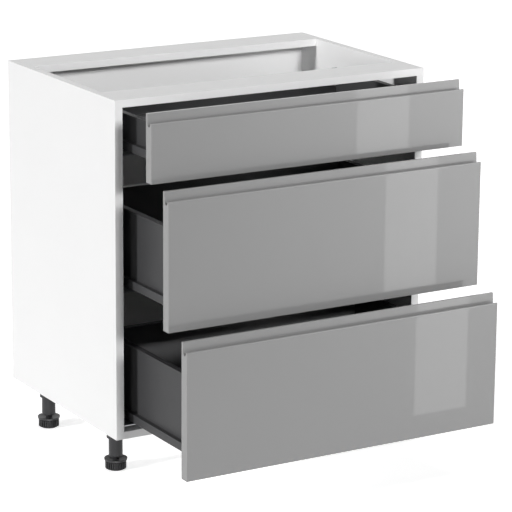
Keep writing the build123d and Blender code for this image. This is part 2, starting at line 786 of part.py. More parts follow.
for number, drawer in enumerate(drawers, start=1):
    side_low = drawer.front_low + side_above_front
    side_height = drawer.front_height - side_above_front - drawer.side_drop
    back_top = side_low + side_height - rim_height - drawer.back_drop
    inner_face = carcass_front - drawer.opening
    side_start = inner_face + bracket_plate
    rear = side_start + drawer.length
    front_spots = front_screw_spots(side_low, side_height)
    back_spots = back_screw_spots(side_low, back_top)
    ledge_spots = [spot for side in (-1, 1) for spot in ledge_screw_spots(side, side_start, rear)]
    drawer_front(f"drawer_{number}_front", inner_face, drawer.front_low, drawer.front_height, front_spots)
    drawer_bottom(f"drawer_{number}_bottom", inner_face, rear, side_low, ledge_spots)
    drawer_back(f"drawer_{number}_back", rear, side_low, back_top, back_spots)
    drawer_brackets(f"drawer_{number}_brackets",
                    front_brackets(inner_face, side_low, side_height, front_spots),
                    back_brackets(rear, side_low, back_top, back_spots))
    driven_screws(f"drawer_{number}_screws", drawer_screw,
                  [(across(side_start), front_spots), (across(rear + bracket_plate), back_spots),
                   (Plane.XY.offset(side_low), ledge_spots)])
    slide_length = drawer.length - slide_shortening
    for side, word in ((-1, "left"), (1, "right")):
        drawer_side(f"drawer_{number}_side_{word}", side, side_start, rear, side_low, side_height)
        runner_rail(f"runner_{number}_rail_{word}", side, side_low, drawer.length)
        runner_slide(f"runner_{number}_slide_{word}", side, side_low, slide_length,
                     drawer.opening - closed_gap)
driven_screws("runner_screws", runner_screw, runner_screw_seats())
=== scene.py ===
"""Dresses a kitchen base cabinet with three open drawers and lights it for a studio picture.

Lengths are metres. X runs to the right, Y to the back and Z up, and the origin lies on the floor
under the middle of the cabinet. Places and outer sizes are read from the frame, so every new piece
sits where the frame has it, and only the finer shapes have their own sizes here.
"""

import json
import logging
import math
from collections.abc import Callable, Sequence
from dataclasses import dataclass, field
from enum import Enum
from typing import Any

import bmesh
import bpy
from mathutils import Matrix, Vector

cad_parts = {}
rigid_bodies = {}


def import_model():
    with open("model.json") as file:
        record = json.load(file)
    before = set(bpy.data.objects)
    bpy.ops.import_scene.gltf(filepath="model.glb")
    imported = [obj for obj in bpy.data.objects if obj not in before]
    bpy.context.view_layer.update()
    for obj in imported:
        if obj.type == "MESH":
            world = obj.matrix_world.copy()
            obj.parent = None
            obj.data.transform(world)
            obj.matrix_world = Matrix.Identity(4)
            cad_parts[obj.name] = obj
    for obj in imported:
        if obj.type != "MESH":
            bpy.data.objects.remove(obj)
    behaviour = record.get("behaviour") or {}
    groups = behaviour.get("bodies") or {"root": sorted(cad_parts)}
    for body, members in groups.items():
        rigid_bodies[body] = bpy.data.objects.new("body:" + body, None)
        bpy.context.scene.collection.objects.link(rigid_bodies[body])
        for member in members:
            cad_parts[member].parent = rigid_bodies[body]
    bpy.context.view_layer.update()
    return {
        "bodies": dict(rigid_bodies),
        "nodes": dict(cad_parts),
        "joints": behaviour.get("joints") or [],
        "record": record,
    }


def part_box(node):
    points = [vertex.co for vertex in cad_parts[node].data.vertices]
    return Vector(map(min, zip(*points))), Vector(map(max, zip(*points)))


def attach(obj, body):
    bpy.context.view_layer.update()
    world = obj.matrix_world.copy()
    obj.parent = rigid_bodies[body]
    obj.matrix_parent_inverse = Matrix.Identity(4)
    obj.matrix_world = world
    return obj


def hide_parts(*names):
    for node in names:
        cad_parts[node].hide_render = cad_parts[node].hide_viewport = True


log = logging.getLogger("cabinet")

MM = 0.001
NEAR = 0.01 * MM  # two places closer than this are one
MERGE_DISTANCE = 0.002 * MM
ALONG = 0.9  # a direction with a larger share of an axis runs along that axis
SMOOTH_BELOW = math.radians(38.0)  # edges that turn by less are shaded smooth
ROUND_ABOVE = math.radians(48.0)  # edges that turn by more are rounded off
SMOOTH_ONCE_ROUNDED = math.radians(50.0)  # the same, after the sharp edges are rounded off
GOLDEN_ANGLE = math.radians(137.5)  # from one screw's recess to the next one's
NOISE_ROUGHNESS = 0.55  # how much each finer octave of noise counts
BACK = Vector((0.0, 1.0, 0.0))
DOWN = Vector((0.0, 0.0, -1.0))
ORIGIN = Vector((0.0, 0.0, 0.0))
WHITE = (1.0, 1.0, 1.0, 1.0)
DRAWERS = (1, 2, 3)
CORNERS = ("fl", "fr", "rl", "rr")

Colour = tuple[float, float, float]
Tints = tuple[float, float]
Test = Callable[[Vector, Vector], bool]
Element = bmesh.types.BMVert | bmesh.types.BMEdge | bmesh.types.BMFace


class Hand(Enum):
    """The cabinet's two mirrored sides, each with its direction along X from the middle."""

    LEFT = -1
    RIGHT = 1

    @property
    def word(self) -> str:
        """The side's name as the frame's nodes spell it."""
        return self.name.lower()

    @property
    def inwards(self) -> Vector:
        """The direction from this side to the cabinet's middle."""
        return Vector((-self.value, 0.0, 0.0))

    def outer(self, low: Vector, high: Vector) -> float:
        """Where the box between two corners ends, away from the cabinet's middle."""
        return low.x if self is Hand.LEFT else high.x

    def inner(self, low: Vector, high: Vector) -> float:
        """Where the box between two corners ends, towards the cabinet's middle."""
        return high.x if self is Hand.LEFT else low.x


class Part(Enum):
    """What a selection in edit mode is made of."""

    VERTICES = "VERT"
    EDGES = "EDGE"
    FACES = "FACE"


class Ray(Enum):
    """The kinds of rays that a stage piece can be hidden from, as its settings spell them."""

    CAMERA = "visible_camera"
    DIFFUSE = "visible_diffuse"
    GLOSSY = "visible_glossy"
    TRANSMISSION = "visible_transmission"
    SHADOW = "visible_shadow"


# ---------------------------------------------------------------------------- shader building


class Wire:
    """A shader socket that takes part in Python arithmetic."""

    def __init__(self, graph: "Graph", socket: bpy.types.NodeSocket | None) -> None:
        """Wrap a socket.

        Args:
            graph: The graph that new maths nodes are added to.
            socket: The output socket that this wire starts from, or None for a node without one.
        """
        self.graph = graph
        self.socket = socket

    def _maths(self, operation: str, *values: "Wire | float") -> "Wire":
        """Add one Math node.

        Args:
            operation: The node's operation.
            values: Its inputs in order.

        Returns:
            The node's result.
        """
        inputs = dict(enumerate(values))
        return self.graph.node("ShaderNodeMath", {"operation": operation}, inputs)

    def __add__(self, other: "Wire | float") -> "Wire":
        """Sum."""
        return self._maths("ADD", self, other)

    __radd__ = __add__

    def __sub__(self, other: "Wire | float") -> "Wire":
        """Difference."""
        return self._maths("SUBTRACT", self, other)

    def __rsub__(self, other: float) -> "Wire":
        """Difference with a number on the left."""
        return self._maths("SUBTRACT", other, self)

    def __mul__(self, other: "Wire | float") -> "Wire":
        """Product."""
        return self._maths("MULTIPLY", self, other)

    __rmul__ = __mul__

    def __lt__(self, other: "Wire | float") -> "Wire":
        """1 where this wire is the smaller, else 0."""
        return self._maths("LESS_THAN", self, other)

    def __gt__(self, other: "Wire | float") -> "Wire":
        """1 where this wire is the larger, else 0."""
        return self._maths("GREATER_THAN", self, other)

    def __abs__(self) -> "Wire":
        """Distance from zero."""
        return self._maths("ABSOLUTE", self)

    def most(self, other: "Wire | float") -> "Wire":
        """The larger of two values."""
        return self._maths("MAXIMUM", self, other)

    def sway(self, width: float, centre: float = 0.5) -> "Wire":
        """A swing about 0, of a given width where this wire runs from 0 to 1."""
        return (self - centre) * width


class Graph:
    """The node tree of one material or world."""

    def __init__(self, tree: bpy.types.NodeTree) -> None:
        """Start from an empty tree.

        Args:
            tree: The tree to fill.
        """
        self.tree = tree
        tree.nodes.clear()

    def node(
        self,
        kind: str,
        settings: dict[str, object] | None = None,
        inputs: dict[str | int, "Wire | float | Sequence[float]"] | None = None,
        output: str | int = 0,
    ) -> Wire:
        """Add a node, set it up and feed its sockets.

        Args:
            kind: The node's type.
            settings: Its own settings; "stops" holds a colour ramp's positions and greys.
            inputs: Values or wires, by socket name, identifier or index.
            output: The output socket to return, by name, identifier or index.

        Returns:
            A wire from the chosen output.
        """
        made = self.tree.nodes.new(kind)
        for key, value in (settings or {}).items():
            if key == "stops":
                self._set_stops(made, value)
            else:
                setattr(made, key, value)
        for key, value in (inputs or {}).items():
            target = self._socket(made.inputs, key)
            if isinstance(value, Wire):
                self.tree.links.new(value.socket, target)
            else:
                target.default_value = value
        found = self._socket(made.outputs, output) if len(made.outputs) else None
        return Wire(self, found)

    @staticmethod
    def _socket(sockets: bpy.types.NodeInputs, key: str | int) -> bpy.types.NodeSocket:
        """Find a socket by index, identifier or name."""
        if isinstance(key, int):
            return sockets[key]
        same = [socket for socket in sockets if socket.identifier == key]
        return same[0] if same else sockets[key]

    @staticmethod
    def _set_stops(ramp: bpy.types.Node, stops: Sequence[tuple[float, float]]) -> None:
        """Give a colour ramp its stops as (position, grey) pairs."""
        elements = ramp.color_ramp.elements
        while len(elements) < len(stops):
            elements.new(1.0)
        for element, (position, grey) in zip(elements, stops):
            element.position = position
            element.color = (grey, grey, grey, 1.0)

    def seen(self) -> Wire:
        """1 for what the eye, a shiny surface or glass looks at, 0 for light that is cast."""
        rays = [self.node("ShaderNodeLightPath", output=f"Is {kind} Ray")
                for kind in ("Camera", "Glossy", "Transmission")]
        return rays[0].most(rays[1]).most(rays[2])

    def place(self, scale: Sequence[float] = (1.0, 1.0, 1.0)) -> Wire:
        """Object coordinates in metres, stretched by a factor for each axis."""
        coordinates = self.node("ShaderNodeTexCoord", output="Object")
        return self.node("ShaderNodeMapping", {}, {"Vector": coordinates, "Scale": scale})

    def coordinate(self, place: Wire, axis: str) -> Wire:
        """One coordinate of a place, by its axis's letter."""
        return self.node("ShaderNodeSeparateXYZ", {}, {"Vector": place}, axis)

    def noise(self, place: Wire, size: float, detail: float = 2.0) -> Wire:
        """Noise whose blobs are about a given size.

        Args:
            place: The coordinates to read.
            size: The size of a blob in metres.
            detail: Octaves of finer noise.

        Returns:
            A wire from 0 to 1.
        """
        inputs = {"Vector": place, "Scale": 1.0 / size, "Detail": detail,
                  "Roughness": NOISE_ROUGHNESS}
        return self.node("ShaderNodeTexNoise", {}, inputs)

    def blend(self, share: Wire | float, first: Wire | Colour, second: Wire | Colour) -> Wire:
        """Mix two colours.

        Args:
            share: How much of the second colour, from 0 to 1.
            first: The colour at 0.
            second: The colour at 1.

        Returns:
            The mixed colour.
        """
        def filled(colour: Wire | Colour) -> Wire | tuple[float, ...]:
            """A plain colour with its alpha."""
            return colour if isinstance(colour, Wire) else (*colour, 1.0)

        inputs = {"Factor_Float": share, "A_Color": filled(first), "B_Color": filled(second)}
        return self.node("ShaderNodeMix", {"data_type": "RGBA"}, inputs, "Result_Color")

    def shade(self, share: Wire, colour: Colour, tints: Tints) -> Wire:
        """A colour that goes from its first tint to its second as a wire goes from 0 to 1."""
        first, second = tints
        return self.blend(share, tinted(colour, first), tinted(colour, second))

    def bump(self, height: Wire, depth: float, strength: float, below: Wire | None = None) -> Wire:
        """Raise the surface by a height.

        Args:
            height: The height from 0 to 1.
            depth: What a height of 1 means in metres.
            strength: How much of it shows.
            below: A normal that this one is added to.

        Returns:
            The new normal.
        """
        inputs = {"Height": height, "Distance": depth, "Strength": strength}
        if below is not None:
            inputs["Normal"] = below
        return self.node("ShaderNodeBump", {}, inputs)

    def surface(self, **sockets: Wire | float | Sequence[float]) -> None:
        """End the graph in one Principled shader.

        Args:
            sockets: Its inputs, with underscores for the spaces in their names.
        """
        inputs = {name.replace("_", " "): value for name, value in sockets.items()}
        shader = self.node("ShaderNodeBsdfPrincipled", {}, inputs)
        self.node("ShaderNodeOutputMaterial", {}, {"Surface": shader})


def tinted(colour: Colour, factor: float) -> Colour:
    """The same colour, lighter or darker."""
    return tuple(min(1.0, channel * factor) for channel in colour)


# ---------------------------------------------------------------------------- finishes


@dataclass(frozen=True)
class Finish:
    """A finish that can dress a piece. Each kind of finish fills in its own graph."""

    name: str
    slot: str

    def fill(self, graph: Graph) -> None:
        """Build the finish's nodes."""
        raise NotImplementedError

    def material(self) -> bpy.types.Material:
        """The finish's material, made on first use."""
        made = bpy.data.materials.get(self.name)
        if made is None:
            made = bpy.data.materials.new(self.name)
            made.use_nodes = True
            self.fill(Graph(made.node_tree))
        return made

    def dress(self, piece: bpy.types.Object) -> None:
        """Put the finish on every material slot of a piece."""
        if not piece.material_slots:
            piece.data.materials.append(self.material())
        for place in piece.material_slots:
            place.material = self.material()


@dataclass(frozen=True)
class Melamine(Finish):
    """Melamine faced chipboard with a glued edge band along the front edge."""

    colour: Colour = (0.8, 0.8, 0.8)
    roughness: float = 0.38
    speckle: float = 0.03
    speckle_tint: float = 0.6
    speckle_size: float = 1.1 * MM
    speckle_stops: tuple[tuple[float, float], ...] = ((0.62, 0.0), (0.74, 1.0))
    cloud_tints: Tints = (1.0, 0.985)
    cloud_size: float = 90.0 * MM
    grain_size: float = 0.45 * MM
    grain_depth: float = 0.02 * MM
    band_front: float | None = None
    band_thickness: float = 1.0 * MM
    seam_width: float = 0.16 * MM
    seam_share: float = 0.45
    seam_tint: float = 0.45
    seam_roughness: float = 0.2

    def fill(self, graph: Graph) -> None:
        """Fine pearl grain, faint clouding, flecks and the seam of the edge band."""
        place = graph.place()
        grain = graph.noise(place, self.grain_size, detail=1.0)
        cloud = graph.noise(place, self.cloud_size, detail=3.0)
        fleck = graph.node("ShaderNodeValToRGB", {"stops": self.speckle_stops},
                           {"Fac": graph.noise(place, self.speckle_size, detail=1.0)})
        tone = graph.shade(cloud, self.colour, self.cloud_tints)
        tone = graph.blend(fleck * self.speckle, tone, tinted(self.colour, self.speckle_tint))
        rough = self.roughness + cloud.sway(0.10) + grain.sway(0.06)
        if self.band_front is not None:
            depth = graph.coordinate(place, "Y")
            off_seam = abs(depth - (self.band_front + self.band_thickness))
            seam = off_seam < self.seam_width / 2
            tone = graph.blend(seam * self.seam_share, tone, tinted(self.colour, self.seam_tint))
            rough = rough + seam * self.seam_roughness
        normal = graph.bump(grain, self.grain_depth, strength=0.35)
        graph.surface(Base_Color=tone, Roughness=rough, Normal=normal, Specular_IOR_Level=0.45)


@dataclass(frozen=True)
class Lacquer(Finish):
    """High gloss lacquer over fibreboard, with the slight peel of a sprayed coat."""

    colour: Colour = (0.4, 0.4, 0.4)
    roughness: float = 0.33
    coat_roughness: float = 0.03
    pigment_tints: Tints = (0.985, 1.015)
    pigment_size: float = 0.35 * MM
    sweep_tint: float = 0.97
    sweep_size: float = 160.0 * MM
    sweep_stretch: float = 0.35
    peel_size: float = 2.6 * MM
    peel_depth: float = 0.02 * MM

    def fill(self, graph: Graph) -> None:
        """Even colour with a trace of pigment, under a clear coat that is not quite flat."""
        place = graph.place()
        pigment = graph.noise(place, self.pigment_size, detail=1.0)
        sweep = graph.noise(graph.place((1.0, 1.0, self.sweep_stretch)), self.sweep_size)
        tone = graph.shade(pigment, self.colour, self.pigment_tints)
        tone = graph.blend(sweep * 0.5, tone, tinted(self.colour, self.sweep_tint))
        rough = self.roughness + pigment.sway(0.05)
        peel = graph.noise(place, self.peel_size, detail=1.0)
        normal = graph.bump(peel, self.peel_depth, strength=0.12)
        graph.surface(Base_Color=tone, Roughness=rough, Normal=normal, Coat_Weight=1.0,
                      Coat_Roughness=self.coat_roughness, Coat_IOR=1.5, Specular_IOR_Level=0.2)


@dataclass(frozen=True)
class PowderCoat(Finish):
    """Powder coated sheet steel with its fine grain."""

    colour: Colour = (0.052, 0.052, 0.054)
    roughness: float = 0.46
    specular: float = 0.25
    grain_tints: Tints = (0.86, 1.14)
    grain_size: float = 0.55 * MM
    grain_depth: float = 0.04 * MM
    pool_size: float = 35.0 * MM

    def fill(self, graph: Graph) -> None:
        """Small rounded grains in colour, gloss and height."""
        place = graph.place()
        grain = graph.noise(place, self.grain_size)
        pool = graph.noise(place, self.pool_size)
        tone = graph.shade(grain, self.colour, self.grain_tints)
        rough = self.roughness + grain.sway(0.16) + pool.sway(0.06)
        normal = graph.bump(grain, self.grain_depth, strength=0.4)
        graph.surface(Base_Color=tone, Roughness=rough, Normal=normal,
                      Specular_IOR_Level=self.specular)


@dataclass(frozen=True)
class RolledZinc(Finish):
    """Zinc plated strip, with rolling marks along the cabinet's depth."""

    colour: Colour = (0.62, 0.63, 0.65)
    roughness: float = 0.34
    mark_stretch: float = 0.04
    mark_tints: Tints = (0.88, 1.08)
    mark_size: float = 0.5 * MM
    mark_depth: float = 0.02 * MM
    cloud_tint: float = 0.8
    cloud_size: float = 12.0 * MM

    def fill(self, graph: Graph) -> None:
        """Long fine streaks and soft clouds of the plating."""
        streak = graph.noise(graph.place((1.0, self.mark_stretch, 1.0)), self.mark_size, detail=3.0)
        cloud = graph.noise(graph.place(), self.cloud_size, detail=3.0)
        tone = graph.shade(streak, self.colour, self.mark_tints)
        tone = graph.blend(cloud * 0.4, tone, tinted(self.colour, self.cloud_tint))
        rough = self.roughness + streak.sway(0.14) + cloud.sway(0.12)
        normal = graph.bump(streak, self.mark_depth, strength=0.25)
        graph.surface(Base_Color=tone, Roughness=rough, Metallic=1.0, Normal=normal)


@dataclass(frozen=True)
class MouldedPlastic(Finish):
    """Black moulded plastic with a spark eroded grain."""

    colour: Colour = (0.03, 0.03, 0.032)
    roughness: float = 0.45
    pit_size: float = 0.5 * MM
    pit_depth: float = 0.03 * MM
    pit_middle: float = 0.4
    rubbed_tints: Tints = (0.8, 1.35)
    rubbed_size: float = 14.0 * MM

    def fill(self, graph: Graph) -> None:
        """Pits of the mould's grain and slightly shinier rubbed places."""
        place = graph.place()
        pits = graph.node("ShaderNodeTexVoronoi", {},
                          {"Vector": place, "Scale": 1.0 / self.pit_size})
        rubbed = graph.noise(place, self.rubbed_size, detail=3.0)
        tone = graph.shade(rubbed, self.colour, self.rubbed_tints)
        rough = self.roughness + pits.sway(0.12, self.pit_middle) - rubbed * 0.08
        normal = graph.bump(pits, self.pit_depth, strength=0.35)
        graph.surface(Base_Color=tone, Roughness=rough, Normal=normal)


@dataclass(frozen=True)
class BeechWood(Finish):
    """Beech of the dowels, its grain along the cabinet's width."""

    colour: Colour = (0.62, 0.42, 0.24)
    roughness: float = 0.6
    fibre_tints: Tints = (1.0, 0.7)
    fibre_size: float = 0.6 * MM
    fibre_stretch: float = 0.08
    fibre_depth: float = 0.08 * MM
    ray_tint: float = 0.5
    ray_size: float = 1.4 * MM
    ray_stretch: float = 0.3
    ray_above: float = 0.62

    def fill(self, graph: Graph) -> None:
        """Fibres along X with short darker rays."""
        fibre = graph.noise(graph.place((self.fibre_stretch, 1.0, 1.0)), self.fibre_size,
                            detail=4.0)
        speck = graph.noise(graph.place((self.ray_stretch, 1.0, 1.0)), self.ray_size, detail=1.0)
        ray = speck > self.ray_above
        tone = graph.shade(fibre, self.colour, self.fibre_tints)
        tone = graph.blend(ray * 0.4, tone, tinted(self.colour, self.ray_tint))
        normal = graph.bump(fibre, self.fibre_depth, strength=0.5)
        graph.surface(Base_Color=tone, Roughness=self.roughness + fibre.sway(0.2), Normal=normal)


# ---------------------------------------------------------------------------- modelling by hand


def start_piece(name: str, add: Callable[..., set[str]],
                scale: Sequence[float] = (1.0, 1.0, 1.0), **settings: object) -> bpy.types.Object:
    """Add a primitive with nothing else selected and open it for editing.

    Args:
        name: The piece's name.
        add: The operator that adds the primitive.
        scale: Factors along the primitive's own axes.
        settings: The operator's settings.

    Returns:
        The new piece, in edit mode, with its place in its mesh.
    """
    bpy.ops.object.select_all(action="DESELECT")
    add(**settings)
    piece = bpy.context.object
    piece.name = name
    piece.data.name = name
    piece.scale = scale
    bpy.ops.object.transform_apply(location=True, rotation=True, scale=True)
    bpy.ops.object.mode_set(mode="EDIT")
    return piece


def middle(low: Vector, high: Vector) -> Vector:
    """The point halfway between two points."""
    return (low + high) / 2


def elements(mesh: bmesh.types.BMesh, part: Part) -> list[tuple[Element, Vector, Vector]]:
    """List a mesh's vertices, edges or faces.

    Args:
        mesh: The mesh in edit mode.
        part: Which of them.

    Returns:
        Each with its middle and its normal, or an edge's direction.
    """
    if part is Part.FACES:
        return [(face, face.calc_center_median(), face.normal) for face in mesh.faces]
    if part is Part.VERTICES:
        return [(corner, corner.co, corner.normal) for corner in mesh.verts]
    found = []
    for edge in mesh.edges:
        start, end = (corner.co for corner in edge.verts)
        found.append((edge, middle(start, end), (end - start).normalized()))
    return found


def pick(piece: bpy.types.Object, part: Part, test: Test) -> None:
    """Select exactly what passes a test.

    Args:
        piece: The piece in edit mode.
        part: Whether vertices, edges or faces are selected.
        test: Takes the middle of a part and its normal (an edge's direction) and says yes or no.
    """
    bpy.ops.mesh.select_mode(type=part.value)
    bpy.ops.mesh.select_all(action="DESELECT")
    mesh = bmesh.from_edit_mesh(piece.data)
    chosen = [element for element, at, along in elements(mesh, part) if test(at, along)]
    if not chosen:
        raise ValueError(f"nothing to pick on {piece.name}")
    for element in chosen:
        element.select_set(True)
    bmesh.update_edit_mesh(piece.data)


def extrude(move: Sequence[float]) -> None:
    """Extrude what is selected by a vector."""
    bpy.ops.mesh.extrude_region_move(TRANSFORM_OT_translate={"value": move})


def draw_up(height: float) -> None:
    """Extrude what is selected straight up, or down by a negative height."""
    extrude((0.0, 0.0, height))


def widen(factor: float) -> None:
    """Scale what is selected, level with the floor, about the Z axis."""
    bpy.ops.transform.resize(value=(factor, factor, 1.0), center_override=ORIGIN)


def finish_mesh(piece: bpy.types.Object) -> None:
    """Close a piece in edit mode: merge, turn its faces outwards and smooth its round parts."""
    bpy.ops.mesh.select_mode(type=Part.VERTICES.value)
    bpy.ops.mesh.select_all(action="SELECT")
    bpy.ops.mesh.remove_doubles(threshold=MERGE_DISTANCE)
    bpy.ops.mesh.normals_make_consistent(inside=False)
    bpy.ops.object.mode_set(mode="OBJECT")
    bpy.ops.object.shade_smooth_by_angle(angle=SMOOTH_BELOW)


def use_modifier(piece: bpy.types.Object, kind: str, **settings: object) -> None:
    """Add a modifier to the piece that is active and apply it.

    Args:
        piece: The active piece, in object mode.
        kind: The modifier's type.
        settings: Its settings.
    """
    modifier = piece.modifiers.new(kind.title(), kind)
    for key, value in settings.items():
        setattr(modifier, key, value)
    bpy.ops.object.modifier_apply(modifier=modifier.name)


def round_edges(piece: bpy.types.Object, radius: float, segments: int = 3) -> None:
    """Round every sharp edge of the active piece and keep its flat faces flat in shading."""
    use_modifier(piece, "BEVEL", width=radius, segments=segments, limit_method="ANGLE",
                 angle_limit=ROUND_ABOVE, harden_normals=False)
    bpy.ops.object.shade_smooth_by_angle(angle=SMOOTH_ONCE_ROUNDED)
    use_modifier(piece, "WEIGHTED_NORMAL", keep_sharp=True)


def copy_to(spot: Matrix, master: bpy.types.Object, name: str) -> bpy.types.Object:
    """Copy a finished master, with a mesh of its own.

    Args:
        spot: Where the copy goes.
        master: The piece to copy, at the origin.
        name: The copy's name.

    Returns:
        The copy, with its place in its mesh.
    """
    piece = master.copy()
    piece.data = master.data.copy()
    piece.data.transform(spot)
    piece.name = name
    piece.data.name = name
    bpy.context.collection.objects.link(piece)
    return piece


def join_copies(spots: Sequence[Matrix], master: bpy.types.Object,
                name: str) -> bpy.types.Object:
    """Copy a finished master to several spots and join the copies.

    Args:
        spots: Where each copy goes.
        master: The piece to copy, at the origin.
        name: The joined piece's name.

    Returns:
        The joined piece, with its place in its mesh.
    """
    made = [copy_to(spot, master, name) for spot in spots]
    bpy.ops.object.select_all(action="DESELECT")
    for copy in made:
        copy.select_set(True)
    bpy.context.view_layer.objects.active = made[0]
    bpy.ops.object.join()
    return made[0]


def put_in_place(piece: bpy.types.Object, node: str, body: str,
                 finish: Finish) -> bpy.types.Object:
    """Dress a finished piece and let it stand for a node of the frame.

    Args:
        piece: The piece, where the node is.
        node: The frame's node that it replaces.
        body: The body that it moves with.
        finish: Its finish, with the record's material slot.

    Returns:
        The same piece.
    """
    finish.dress(piece)
    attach(piece, body)
    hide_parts(node)
    log.info("%s: %d faces, for %s on %s", piece.name, len(piece.data.polygons), node, body)
    return piece


# ---------------------------------------------------------------------------- drawers


@dataclass
class DrawerFront:
    """A lacquered front with the grip routed along its top: lip behind, groove, hook in front."""

    number: int
    finish: Finish
    lip_thickness: float = 5.0 * MM
    lip_foot: float = 6.5 * MM
    hook_drop: float = 18.0 * MM
    groove_drop: float = 26.5 * MM
    groove_radius: float = 5.5 * MM
    hook_radius: float = 2.0 * MM
    edge_radius: float = 0.8 * MM
    hook_segments: int = 5
    groove_segments: int = 6
    groove_share: float = 0.97  # how much of the groove's radius its round floor takes up

    def build(self) -> bpy.types.Object:
        """Model the front, dress it and put it in place of the frame's node.

        Returns:
            The finished front.
        """
        node = f"drawer_{self.number}_front"
        low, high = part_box(node)
        floor = high.z - self.groove_drop
        lip_face = high.y - self.lip_foot
        hook_face = lip_face - 2 * self.groove_radius
        slab_high = Vector((high.x, high.y, floor))
        piece = start_piece(f"front_{self.number}", bpy.ops.mesh.primitive_cube_add, size=1.0,
                            location=middle(low, slab_high), scale=slab_high - low)
        for y in (lip_face, hook_face):
            bpy.ops.mesh.select_all(action="SELECT")
            bpy.ops.mesh.bisect(plane_co=(0.0, y, 0.0), plane_no=BACK)
        self._raise_lip(piece, lip_face, high.z)
        pick(piece, Part.FACES, lambda at, out: out.z > ALONG and at.y < hook_face)
        draw_up(self.groove_drop - self.hook_drop)
        self._round_groove(piece, floor, lip_face, hook_face)
        hook_top = high.z - self.hook_drop
        pick(piece, Part.EDGES,
             lambda at, along: abs(along.x) > ALONG and abs(at.z - hook_top) < NEAR)
        bpy.ops.mesh.bevel(offset=self.hook_radius, segments=self.hook_segments, affect="EDGES")
        finish_mesh(piece)
        round_edges(piece, self.edge_radius)
        return put_in_place(piece, node, f"drawer_{self.number}", self.finish)

    def _raise_lip(self, piece: bpy.types.Object, lip_face: float, top: float) -> None:
        """Draw the lip up behind the groove and thin it towards its top.

        Args:
            piece: The front in edit mode.
            lip_face: Where the lip's front side stands.
            top: Height of the lip's top.
        """
        pick(piece, Part.FACES, lambda at, out: out.z > ALONG and at.y > lip_face)
        draw_up(self.groove_radius)
        draw_up(self.groove_drop - self.groove_radius)
        pick(piece, Part.VERTICES,
             lambda at, out: at.z > top - NEAR and abs(at.y - lip_face) < NEAR)
        bpy.ops.transform.translate(value=(0.0, self.lip_foot - self.lip_thickness, 0.0))

    def _round_groove(self, piece: bpy.types.Object, floor: float, lip_face: float,
                      hook_face: float) -> None:
        """Make the groove's floor round.

        Args:
            piece: The front in edit mode.
            floor: Height of the groove's floor.
            lip_face: Where the groove meets the lip.
            hook_face: Where the groove meets the hook.
        """
        def on_floor_edge(at: Vector, along: Vector) -> bool:
            """Whether an edge runs along one side of the groove's floor."""
            beside = min(abs(at.y - lip_face), abs(at.y - hook_face)) < NEAR
            return abs(along.x) > ALONG and abs(at.z - floor) < NEAR and beside

        pick(piece, Part.EDGES, on_floor_edge)
        bpy.ops.mesh.bevel(offset=self.groove_share * self.groove_radius,
                           segments=self.groove_segments, affect="EDGES")


@dataclass
class MetalSide:
    """A drawer side folded from one sheet: runner housing, wall, rim, inner wall and ledge."""

    number: int
    hand: Hand
    finish: Finish
    sheet: float = 1.2 * MM
    housing_height: float = 18.0 * MM
    wall_step: float = 10.0 * MM
    wall_thickness: float = 12.0 * MM
    rim_height: float = 4.0 * MM
    rim_overhang: float = 0.8 * MM
    ledge_thickness: float = 1.5 * MM
    fold_radius: float = 0.45 * MM
    fold_segments: int = 2

    def fold_line(self, height: float, width: float) -> list[tuple[float, float]]:
        """The middle of the sheet as (inwards from the outer face, up from the lower edge).

        Args:
            height: The side's height.
            width: Its width from the housing's face to the ledge's edge.

        Returns:
            The fold line's points, from the housing's lower edge over the rim to the ledge.
        """
        half = self.sheet / 2
        outer = self.wall_step + half
        inner = self.wall_step + self.wall_thickness - half
        rim, top = height - self.rim_height, height - half
        over = self.rim_overhang
        ledge = self.ledge_thickness - half
        return [
            (half, 0.0), (half, self.housing_height - half), (outer, self.housing_height - half),
            (outer, rim), (outer - over, rim + over), (outer - over, top),
            (inner + over, top), (inner + over, rim + over), (inner, rim),
            (inner, ledge), (width, ledge),
        ]

    def build(self) -> bpy.types.Object:
        """Fold the sheet by drawing one edge from fold to fold.

        Returns:
            The finished side.
        """
        node = f"drawer_{self.number}_side_{self.hand.word}"
        low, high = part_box(node)
        face = self.hand.outer(low, high)
        points = [(face - self.hand.value * u, low.z + v)
                  for u, v in self.fold_line(high.z - low.z, high.x - low.x)]
        (x, foot), (_, step) = points[:2]
        half_up = (foot + step) / 2
        piece = start_piece(f"side_{self.number}_{self.hand.word}",
                            bpy.ops.mesh.primitive_plane_add, size=1.0,
                            location=(x, (low.y + high.y) / 2, half_up),
                            rotation=(0.0, math.pi / 2, 0.0),
                            scale=(step - foot, high.y - low.y, 1.0))
        pick(piece, Part.EDGES, lambda at, along: abs(along.y) > ALONG and at.z > half_up)
        for (start_x, start_z), (end_x, end_z) in zip(points[1:], points[2:]):
            extrude((end_x - start_x, 0.0, end_z - start_z))
        finish_mesh(piece)
        use_modifier(piece, "SOLIDIFY", thickness=self.sheet, offset=0.0, use_even_offset=True)
        round_edges(piece, self.fold_radius, self.fold_segments)
        return put_in_place(piece, node, f"drawer_{self.number}", self.finish)


# ---------------------------------------------------------------------------- legs


